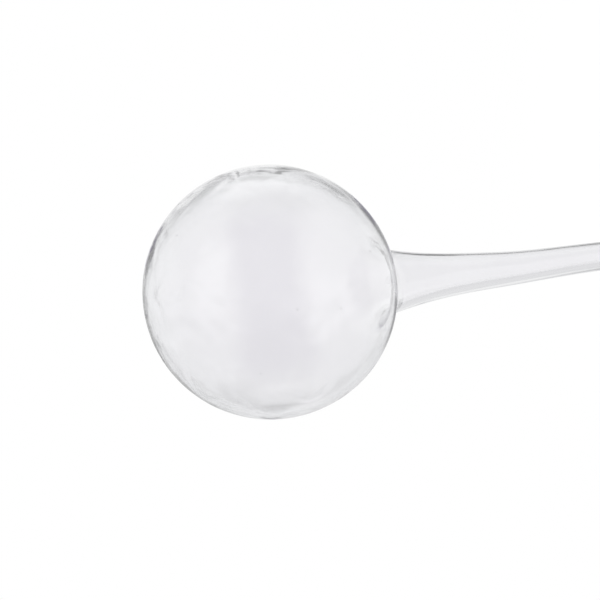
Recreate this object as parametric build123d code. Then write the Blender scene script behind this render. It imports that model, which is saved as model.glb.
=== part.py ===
from build123d import *
import os
from math import cos, radians, sin

# A watering globe: a blown glass bulb holds the water, and a drawn glass stem carries it into the soil.
# The stem is sealed to the neck of the bulb with the glass soft, so the two skins run on without a step.
# Millimetres. Z is the axis of the stem, with the bulb up. Height 0 is the soil line.

# Bulb
BULB_OD = 80.0
BULB_WALL = 1.2
BULB_CENTRE = 150.0  # height of the bulb's centre above the soil line

# Seal between bulb and stem
NECK_OD = 21.2
NECK_WALL = 1.6
NECK_DROP = 45.0  # from the bulb's centre down to the seal
NECK_FLARE = 12.0  # degrees that both skins lean outwards at the seal

# Stem
STEM_WALL = 1.9
WAIST_OD = 13.3
WAIST_DROP = 33.0  # from the seal down to the waist, where the neck has drawn in to the stem
SHANK_OD = 10.0
SHANK_LENGTH = 100.0  # the parallel end of the stem, from the soil line down to the mouth

SEAL_HEIGHT = BULB_CENTRE - NECK_DROP
WAIST_HEIGHT = SEAL_HEIGHT - WAIST_DROP
LEAN_OUT = sin(radians(NECK_FLARE))
LEAN_UP = cos(radians(NECK_FLARE))


def at(radius, height):
    """A point of the outline, which is turned about the Z axis."""
    return Vector(radius, 0, height)


def turned(*outline):
    """The solid that a closed outline makes when it is turned about the Z axis."""
    return revolve(make_face(outline), Axis.Z)


def shoulder_radius(ball_radius, neck_radius):
    """Radius of the hollow shoulder that leaves the seal along its lean and meets the ball without a corner."""
    reach = NECK_DROP**2 + neck_radius**2 - ball_radius**2
    room = ball_radius - neck_radius * LEAN_UP - NECK_DROP * LEAN_OUT
    return reach / (2 * room)


def bulb_skin(ball_radius, neck_radius):
    """One skin of the bulb: up from the seal, round the shoulder and over the ball to its crown."""
    shoulder = shoulder_radius(ball_radius, neck_radius)
    shoulder_centre = at(neck_radius + shoulder * LEAN_UP, -NECK_DROP - shoulder * LEAN_OUT)
    meeting = at(0, BULB_CENTRE) + shoulder_centre * (ball_radius / (ball_radius + shoulder))
    turn = TangentArc(at(neck_radius, SEAL_HEIGHT), meeting, tangent=at(LEAN_OUT, LEAN_UP))
    ball = TangentArc(meeting, at(0, BULB_CENTRE + ball_radius), tangent=turn % 1)
    return turn, ball


def stem_skin(neck_radius, waist_radius, shank_radius, shank_end):
    """One skin of the stem: down from the seal, drawn in past the waist, and along the parallel shank."""
    seal, waist, shank_top = at(neck_radius, SEAL_HEIGHT), at(waist_radius, WAIST_HEIGHT), at(shank_radius, 0)
    taper = Spline(seal, waist, shank_top, tangents=[at(-LEAN_OUT, -LEAN_UP), at(0, -1)])
    shank = Line(shank_top, at(shank_radius, shank_end))
    return taper, shank


def make_bulb():
    """The blown ball with its shoulder and the rim of its neck, open below."""
    outside = bulb_skin(BULB_OD / 2, NECK_OD / 2)
    inside = bulb_skin(BULB_OD / 2 - BULB_WALL, NECK_OD / 2 - NECK_WALL)
    crown = Line(outside[-1] @ 1, inside[-1] @ 1)
    rim = Line(outside[0] @ 0, inside[0] @ 0)
    return turned(*outside, crown, *inside, rim)


def make_stem():
    """The drawn tube, flared to the neck above, with a mouth below that the flame has rounded."""
    lip_radius = STEM_WALL / 2
    lip_start = lip_radius - SHANK_LENGTH
    outside = stem_skin(NECK_OD / 2, WAIST_OD / 2, SHANK_OD / 2, lip_start)
    inside = stem_skin(
        NECK_OD / 2 - NECK_WALL, WAIST_OD / 2 - STEM_WALL, SHANK_OD / 2 - STEM_WALL, lip_start
    )
    rim = Line(outside[0] @ 0, inside[0] @ 0)
    lip = ThreePointArc(outside[-1] @ 1, at(SHANK_OD / 2 - lip_radius, -SHANK_LENGTH), inside[-1] @ 1)
    return turned(*outside, lip, *inside, rim)


os.makedirs("parts", exist_ok=True)
for node, piece in {"bulb": make_bulb(), "stem": make_stem()}.items():
    export_step(piece, f"parts/{node}.step")
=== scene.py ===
import bpy
import math
from mathutils import Matrix, Vector


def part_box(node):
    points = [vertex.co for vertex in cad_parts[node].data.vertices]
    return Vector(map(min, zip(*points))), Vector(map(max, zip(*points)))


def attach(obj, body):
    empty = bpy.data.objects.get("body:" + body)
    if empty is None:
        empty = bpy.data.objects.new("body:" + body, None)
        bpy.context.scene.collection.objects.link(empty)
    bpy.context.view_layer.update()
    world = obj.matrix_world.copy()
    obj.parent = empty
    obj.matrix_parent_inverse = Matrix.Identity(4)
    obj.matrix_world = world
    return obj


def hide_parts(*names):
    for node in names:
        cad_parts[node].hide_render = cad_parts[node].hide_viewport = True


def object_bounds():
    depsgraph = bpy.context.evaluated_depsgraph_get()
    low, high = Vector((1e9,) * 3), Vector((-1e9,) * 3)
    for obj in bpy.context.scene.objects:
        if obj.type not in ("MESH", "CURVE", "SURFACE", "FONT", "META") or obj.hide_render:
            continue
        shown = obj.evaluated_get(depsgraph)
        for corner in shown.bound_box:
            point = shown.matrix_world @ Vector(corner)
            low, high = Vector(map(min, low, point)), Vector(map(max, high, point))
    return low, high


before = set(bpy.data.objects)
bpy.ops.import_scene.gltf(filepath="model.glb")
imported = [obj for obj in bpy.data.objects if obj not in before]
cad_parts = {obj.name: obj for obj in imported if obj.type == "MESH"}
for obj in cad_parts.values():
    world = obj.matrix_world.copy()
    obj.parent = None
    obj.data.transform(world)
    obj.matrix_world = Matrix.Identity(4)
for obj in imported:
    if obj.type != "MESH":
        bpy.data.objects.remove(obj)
cad_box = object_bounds()

# BULB
# The ball that holds the water: soda-lime glass, blown by mouth, so its outside is round but its wall is
# thick on one side and thin on the other, with ripples, cords and seeds, the glassmaker's words for streaks
# and small bubbles. Below, a hollow shoulder runs into the neck, where the stem is sealed to it.
BULB_LOW, BULB_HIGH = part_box("bulb")
BALL_RADIUS = (BULB_HIGH.x - BULB_LOW.x) / 2
BALL_HEIGHT = BULB_HIGH.z - BALL_RADIUS
BALL_CENTRE = Vector((0, 0, BALL_HEIGHT))
BALL_WALL = 0.0012
SEAL_HEIGHT = BULB_LOW.z
MOUTH_HEIGHT = cad_box[0].z  # the open end of the stem, the lowest of all
NECK_RADIUS = 0.0106
NECK_WALL = 0.0016
NECK_LEAN = math.radians(12)
BALL_STEPS = 120  # along each skin of the ball, from the crown to the shoulder
SHOULDER_STEPS = 30
BULB_FACETS = 256
SEAL_STEP = 0.00004  # the last step before the seal is tiny, so that the light runs across the seal unbroken
THIN_FROM, THIN_OVER = 0.003, 0.015  # above the seal: where the wall starts to thin, and over what height
RIPPLE_FROM, RIPPLE_OVER = 0.022, 0.028  # above the seal: the same for the ripples and cords
OUTER_RIPPLE = 0.1  # the share of the ripples and cords that the outside has
BOWS = (  # how far the glass, drawn by hand, strays sideways; at what height; over what length up and down
    (-0.0007, 0.100, 0.030, 0.030),
    (-0.00045, 0.055, 0.020, 0.020),
    (0.0004, 0.012, 0.022, 0.055),
)
OFF_CENTRE = 0.0006  # how far the bore of neck and stem lies to one side of the glass
NECK_FADE = 0.012  # above the seal: the height over which the bore comes back to the middle
MOUTH_FADE = 0.1  # above the mouth: the height over which it leaves the middle
SEED_DEPTH = 0.0004  # from the outside of the ball to the middle of a seed
SEEDS = (  # where the larger bubbles lie in the wall: direction from the ball's centre, and radius
    ((-0.156, -0.938, 0.309), 0.00020),
    ((-0.183, -0.983, -0.036), 0.00017),
    ((0.221, -0.887, -0.405), 0.00022),
    ((0.874, -0.425, 0.238), 0.00018),
    ((0.495, -0.187, 0.849), 0.00017),
    ((-0.602, -0.622, 0.500), 0.00018),
)


def arc_points(centre, radius, start, stop, steps):
    """Points (distance from the axis, height) on an arc, from one angle above the horizon to another."""
    angles = [start + (stop - start) * i / steps for i in range(steps + 1)]
    return [(centre[0] + radius * math.cos(a), centre[1] + radius * math.sin(a)) for a in angles]


def bulb_skin(ball_radius, neck_radius):
    """One skin of the bulb from the crown down to the seal: the ball, then the shoulder that touches it."""
    drop = BALL_HEIGHT - SEAL_HEIGHT
    reach = drop**2 + neck_radius**2 - ball_radius**2
    room = ball_radius - neck_radius * math.cos(NECK_LEAN) - drop * math.sin(NECK_LEAN)
    shoulder = reach / (2 * room)
    out = neck_radius + shoulder * math.cos(NECK_LEAN)
    down = drop + shoulder * math.sin(NECK_LEAN)
    meeting = math.atan2(-down, out)
    centre = (out, BALL_HEIGHT - down)
    last = math.pi - NECK_LEAN - SEAL_STEP / shoulder
    ball = arc_points((0, BALL_HEIGHT), ball_radius, math.pi / 2, meeting, BALL_STEPS)
    turn = arc_points(centre, shoulder, meeting + math.pi, last, SHOULDER_STEPS)
    return ball + turn[1:] + [(neck_radius, SEAL_HEIGHT)]


def eased(value):
    """A value kept between 0 and 1, with a soft start and end."""
    value = min(1.0, max(0.0, value))
    return value**2 * (3 - 2 * value)


def aside(height, inside):
    """How far a skin of the glass lies to one side at a height. The inside strays further, but not in the
    ball and at the mouth."""
    bow = 0
    for far, middle, up, down in BOWS:
        span = up if height > middle else down
        bow += far * math.exp(-(((height - middle) / span) ** 2))
    in_neck = 1 - eased((height - SEAL_HEIGHT) / NECK_FADE)
    in_stem = eased((height - MOUTH_HEIGHT) / MOUTH_FADE)
    return bow + inside * OFF_CENTRE * in_neck * in_stem


def linked(tree, kind, inputs=None, **settings):
    """A new node of a tree. Its inputs are values, or outputs of other nodes to link."""
    node = tree.nodes.new(kind)
    for name, value in settings.items():
        setattr(node, name, value)
    for name, value in (inputs or {}).items():
        if isinstance(value, bpy.types.NodeSocket):
            tree.links.new(value, node.inputs[name])
        else:
            node.inputs[name].default_value = value
    return node


def sums(tree, operation, a, b=0.0):
    """The output of a Math node on one or two values or outputs."""
    return linked(tree, "ShaderNodeMath", {0: a, 1: b}, operation=operation).outputs[0]


def fading(tree, value, low, high, at_low=0.0, at_high=1.0):
    """The output of a smooth step between two levels, as a value goes from low to high."""
    levels = {"Value": value, "From Min": low, "From Max": high, "To Min": at_low, "To Max": at_high}
    return linked(tree, "ShaderNodeMapRange", levels, interpolation_type="SMOOTHSTEP").outputs[0]


def mixed(tree, factor, a, b):
    """The output of one colour going over to another."""
    mix = linked(tree, "ShaderNodeMix", {"Factor": factor, "A": a, "B": b}, data_type="RGBA")
    return mix.outputs["Result"]


# Both glass pieces come from one tree. It reads shares, which are values that the points of an outline
# carry: wall and ripple (how much of each a point gets), bow (how far it lies aside), seal (if it is on the
# seal) and bubble (the radius of a seed, at the points that stand for seeds).
TURN_RADIUS = 1e-7  # of the circle that carries an outline round the axis, as good as a point
WELD = 1e-6  # points nearer than this become one, as at the crown
WHOLLY = 0.99  # a face or edge is on the seal where all of its points are
THICK_FALLOFF = 2.0  # how quickly the thick side goes over to the thin one
NOISE_MIDDLE = 0.5
RIPPLE_DETAIL, CORD_DETAIL = 2.5, 2.0
CORD_BAND = 0.07  # a cord runs where a noise comes this near to its middle
SEED_DETAIL = 3


def glass_inputs(tree):
    """The named sizes that a tree of turned glass is given."""
    for name, kind in (
        ("Geometry", "Geometry"),
        ("Facets", "Int"),
        ("Thick Side", "Vector"),
        ("Thickening", "Float"),
        ("Thinning", "Float"),
        ("Ripple Depth", "Float"),
        ("Ripple Size", "Vector"),
        ("Cord Depth", "Float"),
        ("Cord Spacing", "Vector"),
        ("Noise Seed", "Float"),
        ("Glass", "Material"),
        ("Seal", "Material"),
    ):
        tree.interface.new_socket(name=name, in_out="INPUT", socket_type=f"NodeSocket{kind}")
    return tree.nodes.new("NodeGroupInput").outputs


def share(tree, name):
    """One of the outline's own values, carried on to the points of the turned skin."""
    return linked(tree, "GeometryNodeInputNamedAttribute", {"Name": name}).outputs[0]


def turned_skin(tree, outline, facets):
    """The closed skin that an outline makes when it is carried round the axis."""
    profile = linked(tree, "GeometryNodeMeshToCurve", {"Mesh": outline}).outputs[0]
    circle = {"Resolution": facets, "Radius": TURN_RADIUS}
    turn = linked(tree, "GeometryNodeCurvePrimitiveCircle", circle).outputs[0]
    skin = linked(tree, "GeometryNodeCurveToMesh", {"Curve": turn, "Profile Curve": profile}).outputs[0]
    return linked(tree, "GeometryNodeMergeByDistance", {"Geometry": skin, "Distance": WELD}).outputs[0]


def wandering(tree, size, seed, detail):
    """A smooth noise that wanders about zero, with lumps of a size along each axis."""
    place = linked(tree, "GeometryNodeInputPosition").outputs[0]
    spread = linked(tree, "ShaderNodeVectorMath", {0: place, 1: size}, operation="DIVIDE").outputs[0]
    lumps = {"Vector": spread, "W": seed, "Scale": 1.0, "Detail": detail}
    noise = linked(tree, "ShaderNodeTexNoise", lumps, noise_dimensions="4D").outputs[0]
    return sums(tree, "SUBTRACT", noise, NOISE_MIDDLE)


def wall_growth(tree, given, normal):
    """How far each point of the skin is pushed out of the glass, so that the wall is thick on one side and
    thin elsewhere, with ripples and cords."""
    side = linked(tree, "ShaderNodeVectorMath", {0: normal, 1: given["Thick Side"]}, operation="DOT_PRODUCT")
    facing = sums(tree, "MAXIMUM", sums(tree, "MULTIPLY", side.outputs["Value"], -1.0), 0.0)
    thicker = sums(tree, "MULTIPLY", sums(tree, "POWER", facing, THICK_FALLOFF), given["Thickening"])
    wall = sums(tree, "MULTIPLY", sums(tree, "SUBTRACT", thicker, given["Thinning"]), share(tree, "wall"))
    lumps = wandering(tree, given["Ripple Size"], given["Noise Seed"], RIPPLE_DETAIL)
    ripple = sums(tree, "MULTIPLY", lumps, given["Ripple Depth"])
    streaks = wandering(tree, given["Cord Spacing"], given["Noise Seed"], CORD_DETAIL)
    beside = sums(tree, "ABSOLUTE", streaks)
    cord = fading(tree, beside, 0.0, CORD_BAND, given["Cord Depth"], 0.0)
    uneven = sums(tree, "MULTIPLY", sums(tree, "ADD", ripple, cord), share(tree, "ripple"))
    return sums(tree, "ADD", wall, uneven)


def seeds_at(tree, points):
    """Bubbles at some points. They are hollows in the glass, so their faces look inwards."""
    pea = linked(tree, "GeometryNodeMeshIcoSphere", {"Radius": 1.0, "Subdivisions": SEED_DETAIL})
    hollow = linked(tree, "GeometryNodeFlipFaces", {"Mesh": pea.outputs[0]})
    smooth = linked(tree, "GeometryNodeSetShadeSmooth", {"Geometry": hollow.outputs[0]})
    bubbles = {"Points": points, "Instance": smooth.outputs[0], "Scale": share(tree, "bubble")}
    return linked(tree, "GeometryNodeInstanceOnPoints", bubbles).outputs[0]


def turned_glass():
    """A tree that turns an outline about Z, lets the skin wander as in blown glass, and adds seeds."""
    tree = bpy.data.node_groups.new("Turned glass", "GeometryNodeTree")
    given = glass_inputs(tree)
    tree.interface.new_socket(name="Geometry", in_out="OUTPUT", socket_type="NodeSocketGeometry")
    is_seed = sums(tree, "GREATER_THAN", share(tree, "bubble"), 0.0)
    drawn = linked(
        tree, "GeometryNodeSeparateGeometry", {"Geometry": given["Geometry"], "Selection": is_seed}
    )
    skin = turned_skin(tree, drawn.outputs["Inverted"], given["Facets"])

    normal = linked(tree, "GeometryNodeInputNormal").outputs[0]
    growth = {0: normal, "Scale": wall_growth(tree, given, normal)}
    pushed = linked(tree, "ShaderNodeVectorMath", growth, operation="SCALE").outputs[0]
    sideways = linked(tree, "ShaderNodeCombineXYZ", {"X": share(tree, "bow")}).outputs[0]
    offset = linked(tree, "ShaderNodeVectorMath", {0: pushed, 1: sideways}, operation="ADD").outputs[0]
    wandered = linked(tree, "GeometryNodeSetPosition", {"Geometry": skin, "Offset": offset})

    on_seal = sums(tree, "GREATER_THAN", share(tree, "seal"), WHOLLY)
    smooth = linked(tree, "GeometryNodeSetShadeSmooth", {"Geometry": wandered.outputs[0]})
    creased = linked(
        tree,
        "GeometryNodeSetShadeSmooth",
        {"Geometry": smooth.outputs[0], "Selection": on_seal, "Shade Smooth": False},
        domain="EDGE",
    )
    joined = linked(tree, "GeometryNodeJoinGeometry")
    for part in (seeds_at(tree, drawn.outputs["Selection"]), creased.outputs[0]):
        tree.links.new(part, joined.inputs[0])
    solid = linked(tree, "GeometryNodeRealizeInstances", {"Geometry": joined.outputs[0]})
    glassy = linked(
        tree, "GeometryNodeSetMaterial", {"Geometry": solid.outputs[0], "Material": given["Glass"]}
    )
    sealed = linked(
        tree,
        "GeometryNodeSetMaterial",
        {"Geometry": glassy.outputs[0], "Selection": on_seal, "Material": given["Seal"]},
    )
    linked(tree, "NodeGroupOutput", {"Geometry": sealed.outputs[0]})
    return tree


GLASS_TREE = turned_glass()


def blown_piece(name, outline, inside, shares, seeds=(), **inputs):
    """A glass piece as a plain mesh, turned from its outline of (distance from the axis, height) points,
    each on its inside (1) or not (0). The outline lies in XY, and the turn stands its -Y up along Z."""
    mesh = bpy.data.meshes.new(name)
    points = [(out, -height, 0) for out, height in outline]
    bubbles = [BALL_CENTRE + Vector(way).normalized() * (BALL_RADIUS - SEED_DEPTH) for way, _ in seeds]
    mesh.from_pydata(points + bubbles, [(i, i + 1) for i in range(len(points) - 1)], [])
    bows = [aside(height, i) for (_, height), i in zip(outline, inside)]
    at_seal = [float(height == SEAL_HEIGHT) for _, height in outline]
    shares = {**shares, "bow": bows, "seal": at_seal, "bubble": [0.0] * len(outline)}
    for label, values in shares.items():
        of_seeds = [radius if label == "bubble" else 0.0 for _, radius in seeds]
        mesh.attributes.new(label, "FLOAT", "POINT").data.foreach_set("value", values + of_seeds)
    piece = bpy.data.objects.new(name, mesh)
    bpy.context.scene.collection.objects.link(piece)
    turning = piece.modifiers.new("Turned glass", "NODES")
    turning.node_group = GLASS_TREE
    sockets = {s.name: s.identifier for s in GLASS_TREE.interface.items_tree if s.in_out == "INPUT"}
    for given, value in inputs.items():
        turning[sockets[given.replace("_", " ")]] = value
    shown = piece.evaluated_get(bpy.context.evaluated_depsgraph_get())
    turned = bpy.data.meshes.new_from_object(shown)
    piece.modifiers.remove(turning)
    if turned.materials[0] is None:  # the seeds leave an empty slot, which no face uses
        turned.materials.pop(index=0)
    piece.data = turned
    turned.name = name
    return piece


GLASS_IOR = 1.5
TINTS = ((0.940, 0.935, 0.952, 1), (0.972, 0.968, 0.980, 1))  # the glass varies between them
TINT_SCALE, TINT_DETAIL = 45.0, 2.0
# the edge colour is partly the glass's own grey-green and partly painted shade at the rim
EDGE_TINT_AND_SHADE = (0.89, 0.91, 0.90, 1)
EDGE_BLEND = 0.25
SMUDGE_SCALE, SMUDGE_DETAIL = 70.0, 4.0
SMUDGE_FROM, SMUDGE_FULL = 0.56, 0.72  # the levels of the noise between which a smudge sets in
SMUDGE_ROUGHNESS = 0.07
WAVE_DETAIL = 2.0
WAVE_STRENGTH, WAVE_HEIGHT = 0.05, 0.0003


def clear_glass(name, wave_size):
    """Clear soda-lime glass: fire polished, a little waved and smudged, and greyer at its edges, partly from
    its own grey-green tint and partly as painted shade.
    """
    material = bpy.data.materials.new(name)
    material.use_nodes = True
    tree = material.node_tree
    shader = tree.nodes["Principled BSDF"]
    shader.inputs["Transmission Weight"].default_value = 1
    shader.inputs["IOR"].default_value = GLASS_IOR
    where = linked(tree, "ShaderNodeTexCoord").outputs["Object"]

    def clouds(scale, detail):
        """A noise over the piece."""
        lumps = {"Vector": where, "Scale": scale, "Detail": detail}
        return linked(tree, "ShaderNodeTexNoise", lumps).outputs[0]

    tint = mixed(tree, clouds(TINT_SCALE, TINT_DETAIL), *TINTS)
    # Painted shade: where a face is seen edge-on the glass turns greyer, partly its own tint over a longer
    # path and partly painted shade.
    edge = linked(tree, "ShaderNodeLayerWeight", {"Blend": EDGE_BLEND}).outputs["Facing"]
    tree.links.new(mixed(tree, edge, tint, EDGE_TINT_AND_SHADE), shader.inputs["Base Color"])
    handled = clouds(SMUDGE_SCALE, SMUDGE_DETAIL)
    smudge = fading(tree, handled, SMUDGE_FROM, SMUDGE_FULL, 0.0, SMUDGE_ROUGHNESS)
    tree.links.new(smudge, shader.inputs["Roughness"])
    wave = {"Height": clouds(1 / wave_size, WAVE_DETAIL), "Strength": WAVE_STRENGTH, "Distance": WAVE_HEIGHT}
    tree.links.new(linked(tree, "ShaderNodeBump", wave).outputs[0], shader.inputs["Normal"])
    return material


def run_together():
    """The face where bulb and stem meet. The soft glass has run together there, so nothing shows."""
    material = bpy.data.materials.new("seal")
    material.use_nodes = True
    material.node_tree.nodes["Principled BSDF"].inputs["Alpha"].default_value = 0
    return material


SEAL_FACE = run_together()
bulb_outside = bulb_skin(BALL_RADIUS, NECK_RADIUS)
bulb_inside = bulb_skin(BALL_RADIUS - BALL_WALL, NECK_RADIUS - NECK_WALL)
bulb_outline = bulb_outside + bulb_inside[::-1]
bulb_inner = [0.0] * len(bulb_outside) + [1.0] * len(bulb_inside)
above_seal = [height - SEAL_HEIGHT for _, height in bulb_outline]
thinned = [eased((above - THIN_FROM) / THIN_OVER) for above in above_seal]
rippled = [eased((above - RIPPLE_FROM) / RIPPLE_OVER) for above in above_seal]
bulb = blown_piece(
    "blown_bulb",
    bulb_outline,
    bulb_inner,
    {
        "wall": [t * i for t, i in zip(thinned, bulb_inner)],
        "ripple": [r * max(OUTER_RIPPLE, i) for r, i in zip(rippled, bulb_inner)],
    },
    seeds=SEEDS,
    Facets=BULB_FACETS,
    Thick_Side=(1, 0, 0),
    Thickening=0.0012,
    Thinning=0.00045,
    Ripple_Depth=0.0002,
    Ripple_Size=(0.009, 0.009, 0.009),
    Cord_Depth=0.00013,
    Cord_Spacing=(0.026, 0.026, 0.026),
    Noise_Seed=5.0,
    Glass=clear_glass("bulb glass", wave_size=0.004),
    Seal=SEAL_FACE,
)
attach(bulb, "root")
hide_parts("bulb")

# STEM
# A glass tube drawn out of the same melt: flared where it is sealed to the neck, tapering to a parallel
# shank, and rounded in the flame at the mouth. It carries the bulb in the soil and lets its water down.
STEM_WALL = 0.0019
WAIST_RADIUS = 0.00665
WAIST_HEIGHT = 0.072
WAIST_SLOPE = 0.060  # how much the radius grows with height at the waist
SHANK_RADIUS = 0.005
LIP_RADIUS = STEM_WALL / 2
LIP_HEIGHT = MOUTH_HEIGHT + LIP_RADIUS
FLARE_STEPS = 90
TAPER_STEPS = 110
SHANK_STEPS = 80
LIP_STEPS = 16
STEM_FACETS = 128
STEM_RIPPLE_OVER = 0.010  # below the seal: the height over which the ripples set in


def cubic_point(t, ends, slopes):
    """A point (distance from the axis, height) part of the way down a smooth taper between two ends."""
    (r0, h0), (r1, h1) = ends
    drop = h0 - h1
    handles = (r0, r0 - drop * slopes[0] / 3, r1 + drop * slopes[1] / 3, r1)
    weights = ((1 - t) ** 3, 3 * t * (1 - t) ** 2, 3 * t * t * (1 - t), t**3)
    return sum(w * r for w, r in zip(weights, handles)), h0 - drop * t


def stem_skin(neck_wall, wall):
    """One skin of the stem from the seal down to the start of the lip, set in from the outside by a wall."""
    seal = (NECK_RADIUS - neck_wall, SEAL_HEIGHT)
    waist = (WAIST_RADIUS - wall, WAIST_HEIGHT)
    shank = (SHANK_RADIUS - wall, 0)
    flare = [i / FLARE_STEPS for i in range(FLARE_STEPS + 1)]
    flare.insert(1, SEAL_STEP / (SEAL_HEIGHT - WAIST_HEIGHT))
    lean = (math.tan(NECK_LEAN), WAIST_SLOPE)
    points = [cubic_point(t, (seal, waist), lean) for t in flare]
    taper = [i / TAPER_STEPS for i in range(1, TAPER_STEPS + 1)]
    points += [cubic_point(t, (waist, shank), (WAIST_SLOPE, 0)) for t in taper]
    return points + [(shank[0], LIP_HEIGHT * i / SHANK_STEPS) for i in range(1, SHANK_STEPS + 1)]


stem_outside = stem_skin(0, 0)
stem_inside = stem_skin(NECK_WALL, STEM_WALL)
lip = arc_points((SHANK_RADIUS - LIP_RADIUS, LIP_HEIGHT), LIP_RADIUS, 0, -math.pi, LIP_STEPS)[1:-1]
stem_outline = stem_inside[:1] + stem_outside + lip + stem_inside[::-1]
stem_inner = [1.0] + [0.0] * len(stem_outside + lip) + [1.0] * len(stem_inside)
below_seal = [eased((SEAL_HEIGHT - height) / STEM_RIPPLE_OVER) for _, height in stem_outline]
stem = blown_piece(  # a tube has no thick side and no cords, so those inputs stay at 0
    "drawn_stem",
    stem_outline,
    stem_inner,
    {"ripple": [b * i for b, i in zip(below_seal, stem_inner)]},
    Facets=STEM_FACETS,
    Ripple_Depth=0.00015,
    Ripple_Size=(0.004, 0.004, 0.05),
    Noise_Seed=8.0,
    Glass=clear_glass("stem glass", wave_size=0.005),
    Seal=SEAL_FACE,
)
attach(stem, "root")
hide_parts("stem")

# STUDIO
# White paper all round, as glass is photographed: a bright sheet behind it, grey and white cards round the
# sheet that draw the edges of the glass, a dark gap where the camera stands, and one soft light overhead.
# Sizes in the room are parts of a ray's direction, from -1 to 1, or degrees where that is said.
AWAY = math.radians(30)  # how far the stem leans away from the picture plane
AHEAD = Vector((0, math.cos(AWAY), -math.sin(AWAY)))  # the way that the camera looks
ALONG = Vector((0, -math.sin(AWAY), -math.cos(AWAY)))  # the way that the stem runs in the picture
ACROSS = Vector((1, 0, 0))  # upwards in the picture
PAPER = (0.77, 0.77, 0.78, 1)
SHEET = (0.95, 0.95, 0.95, 1)
SHEET_RADIUS, SHEET_SOFT = 10.5, 2.5  # degrees, as for the cards
CARDS = (  # degrees round the sheet from the picture's right, off its middle, radius, soft edge; brightness
    (0, 54, 25, 6, 1.00),
    (37, 23, 7, 4, 0.25),
    (57, 37, 6, 3, 0.22),
    (92, 42, 5, 3, 0.12),
    (84, 31, 3, 2, 0.20),
    (90, 64, 17, 7, 1.30),
    (90, 15, 9, 4, 0.95),
    (122, 42, 8, 4, 0.28),
    (155, 29, 7, 4, 0.25),
    (190, 19, 7, 4, 0.31),
    (220, 19, 7, 4, 0.48),
    (345, 19, 5, 3, 0.38),
    (262, 72, 22, 9, 0.12),
    (272, 100, 20, 9, 0.45),
)
GAP = (0.19, 0.165, 0.26, 1)
SIDES = (0.70, 0.70, 0.71, 1)
GAP_EDGE = (0.30, 0.70)  # along the stem's line, where the gap goes over to the sides
FRONT_EDGE = (-0.5, 0.25)  # along the camera's line, where gap and sides go over to the paper and cards
SOFTBOX = (1.15, 1.15, 1.15, 1)
SOFTBOX_X, SOFTBOX_Y = 0.25, -0.0875  # its middle
SOFTBOX_EDGE_X, SOFTBOX_EDGE_Y = (0.25, 0.60), (0.14, 0.34)  # off its middle, where it fades out
SOFTBOX_EDGE_Z = (0.0, 0.3)  # above the horizon, where it fades in
SHADE_BAND = -0.06  # upwards in the picture, the middle of a faint band of painted shade on the paper
SHADE_BAND_EDGE = (0.02, 0.07)  # off its middle, where it fades out
SHADE_BAND_DEPTH = 0.045
ONE_WALL = 2.5  # light that has met fewer faces has come through one wall of the glass at most
FLOOR_REACH = 4.0
FLOOR_FADE = (0.12, 0.24)  # away from the middle, where the shaded floor goes over to plain white
FLOOR_MATT = (0.80, 0.80, 0.80, 1)
WHITE = (1, 1, 1, 1)
LAMP_SIZE = (0.45, 0.25)
LAMP_POWER = 2.2
LAMP_PLACE = (0.1, -0.05, BALL_HEIGHT + 0.55)

world = bpy.data.worlds.new("studio")
bpy.context.scene.world = world
world.use_nodes = True
studio = world.node_tree
way = linked(studio, "ShaderNodeTexCoord").outputs["Generated"]


def toward(direction):
    """How nearly a ray runs in a direction, from -1 to 1."""
    both = linked(studio, "ShaderNodeVectorMath", {0: way, 1: direction}, operation="DOT_PRODUCT")
    return both.outputs["Value"]


def off_middle(direction, middle):
    """How far a ray runs to either side of a middle that lies in a direction."""
    return sums(studio, "ABSOLUTE", sums(studio, "SUBTRACT", toward(direction), middle))


def on_card(direction, radius, soft):
    """1 where a ray meets a round card that lies in a direction, and 0 off it. Its sizes are in degrees."""
    edge, middle = math.cos(math.radians(radius + soft)), math.cos(math.radians(radius - soft))
    return fading(studio, toward(direction), edge, middle)


around = mixed(studio, on_card(AHEAD, SHEET_RADIUS, SHEET_SOFT), PAPER, SHEET)
for turn, off, radius, soft, level in CARDS:
    turn, off = math.radians(turn), math.radians(off)
    card_way = math.cos(off) * AHEAD + math.sin(off) * (math.cos(turn) * ALONG + math.sin(turn) * ACROSS)
    around = mixed(studio, on_card(card_way, radius, soft), around, (level, level, level, 1))
behind = mixed(studio, fading(studio, off_middle(ALONG, 0.0), *GAP_EDGE), GAP, SIDES)
around = mixed(studio, fading(studio, toward(AHEAD), *FRONT_EDGE), behind, around)
box_x = fading(studio, off_middle((1, 0, 0), SOFTBOX_X), *SOFTBOX_EDGE_X, 1.0, 0.0)
box_y = fading(studio, off_middle((0, 1, 0), SOFTBOX_Y), *SOFTBOX_EDGE_Y, 1.0, 0.0)
box_z = fading(studio, toward((0, 0, 1)), *SOFTBOX_EDGE_Z)
softbox = sums(studio, "MULTIPLY", sums(studio, "MULTIPLY", box_y, box_x), box_z)
around = mixed(studio, softbox, around, SOFTBOX)

# Light that the glass mirrors, or that has only passed through one wall of it, shows this room. Straight
# through the glass and beside it the paper is plain white, apart from a faint band of painted shade, which
# only the glass shows.
path = linked(studio, "ShaderNodeLightPath").outputs
mirrored = sums(studio, "GREATER_THAN", path["Glossy Depth"], 0.0)
through = sums(studio, "GREATER_THAN", path["Transmission Depth"], 0.0)
one_wall = sums(studio, "MULTIPLY", through, sums(studio, "LESS_THAN", path["Transmission Depth"], ONE_WALL))
of_room = sums(studio, "MAXIMUM", mirrored, one_wall)
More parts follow.
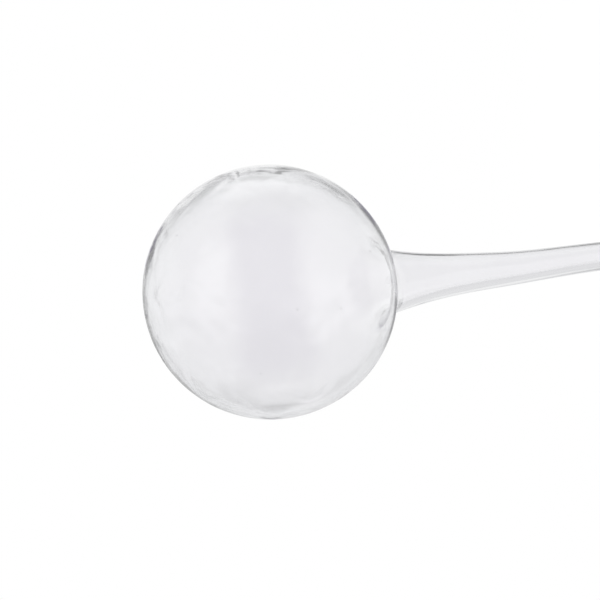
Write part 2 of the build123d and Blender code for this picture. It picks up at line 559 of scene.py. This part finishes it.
# Painted shade: a faint darker band across the paper, which only light that has come through the glass
# meets.
shade_band = fading(studio, off_middle(ACROSS, SHADE_BAND), *SHADE_BAND_EDGE, SHADE_BAND_DEPTH, 0.0)
lit = sums(studio, "SUBTRACT", 1.0, sums(studio, "MULTIPLY", shade_band, through))
plain = linked(studio, "ShaderNodeBackground", {"Color": WHITE, "Strength": lit})
room = linked(studio, "ShaderNodeBackground", {"Color": around, "Strength": 1.0})
seen = linked(studio, "ShaderNodeMixShader", {0: of_room, 1: plain.outputs[0], 2: room.outputs[0]})
studio.links.new(seen.outputs[0], studio.nodes["World Output"].inputs["Surface"])

floor_mesh = bpy.data.meshes.new("floor")
corners = [(x * FLOOR_REACH, y * FLOOR_REACH, MOUTH_HEIGHT) for x, y in ((-1, -1), (1, -1), (1, 1), (-1, 1))]
floor_mesh.from_pydata(corners, [], [(0, 1, 2, 3)])
floor = bpy.data.objects.new("floor", floor_mesh)
bpy.context.scene.collection.objects.link(floor)
floor.visible_glossy = False
floor.visible_transmission = False
paper = bpy.data.materials.new("white paper")
paper.use_nodes = True
floor_skin = paper.node_tree
where = linked(floor_skin, "ShaderNodeTexCoord").outputs["Object"]
apart = linked(floor_skin, "ShaderNodeVectorMath", {0: where}, operation="LENGTH").outputs["Value"]
matt = linked(floor_skin, "ShaderNodeBsdfDiffuse", {"Color": FLOOR_MATT}).outputs[0]
glow = linked(floor_skin, "ShaderNodeEmission", {"Color": WHITE, "Strength": 1.0}).outputs[0]
far = fading(floor_skin, apart, *FLOOR_FADE)
faded = linked(floor_skin, "ShaderNodeMixShader", {0: far, 1: matt, 2: glow})
floor_skin.links.new(faded.outputs[0], floor_skin.nodes["Material Output"].inputs["Surface"])
floor_mesh.materials.append(paper)

light = bpy.data.lights.new("overhead softbox", "AREA")
light.shape = "RECTANGLE"
light.size, light.size_y = LAMP_SIZE
light.energy = LAMP_POWER
lamp = bpy.data.objects.new("overhead softbox", light)
lamp.location = LAMP_PLACE
lamp.visible_glossy = False
lamp.visible_transmission = False
bpy.context.scene.collection.objects.link(lamp)

# CAMERA
# It looks down on the bulb, with the stem running away from it, and is rolled so that the stem leaves the
# picture on the right. Its lens and place follow from where the outline of the ball lies in the picture.
PICTURE = 600  # pixels each way
BALL_PIXELS = 127.65  # radius of the ball's outline
BALL_CENTRE_PIXEL = (270.2, 291.95)
RISE = math.radians(6.2)  # how far the stem climbs to the right
DISTANCE = 13 * BALL_RADIUS
SENSOR = 36  # millimetres, as the lens
BOUNCES = 256  # light runs round inside the wall of a glass ball many times

right = math.cos(RISE) * ALONG - math.sin(RISE) * ACROSS
up = math.sin(RISE) * ALONG + math.cos(RISE) * ACROSS
focal_pixels = BALL_PIXELS * math.sqrt(DISTANCE**2 - BALL_RADIUS**2) / BALL_RADIUS
pixel = DISTANCE / focal_pixels
camera_data = bpy.data.cameras.new("camera")
camera_data.sensor_width = SENSOR
camera_data.lens = focal_pixels / PICTURE * SENSOR
camera = bpy.data.objects.new("camera", camera_data)
bpy.context.scene.collection.objects.link(camera)
place = (
    BALL_CENTRE
    - DISTANCE * AHEAD
    - (BALL_CENTRE_PIXEL[0] - PICTURE / 2) * pixel * right
    + (BALL_CENTRE_PIXEL[1] - PICTURE / 2) * pixel * up
)
camera.matrix_world = Matrix.Translation(place) @ Matrix((right, up, -AHEAD)).transposed().to_4x4()
bpy.context.scene.camera = camera
bpy.context.scene.view_settings.view_transform = "Standard"
cycles = bpy.context.scene.cycles
cycles.max_bounces = cycles.glossy_bounces = cycles.transmission_bounces = BOUNCES
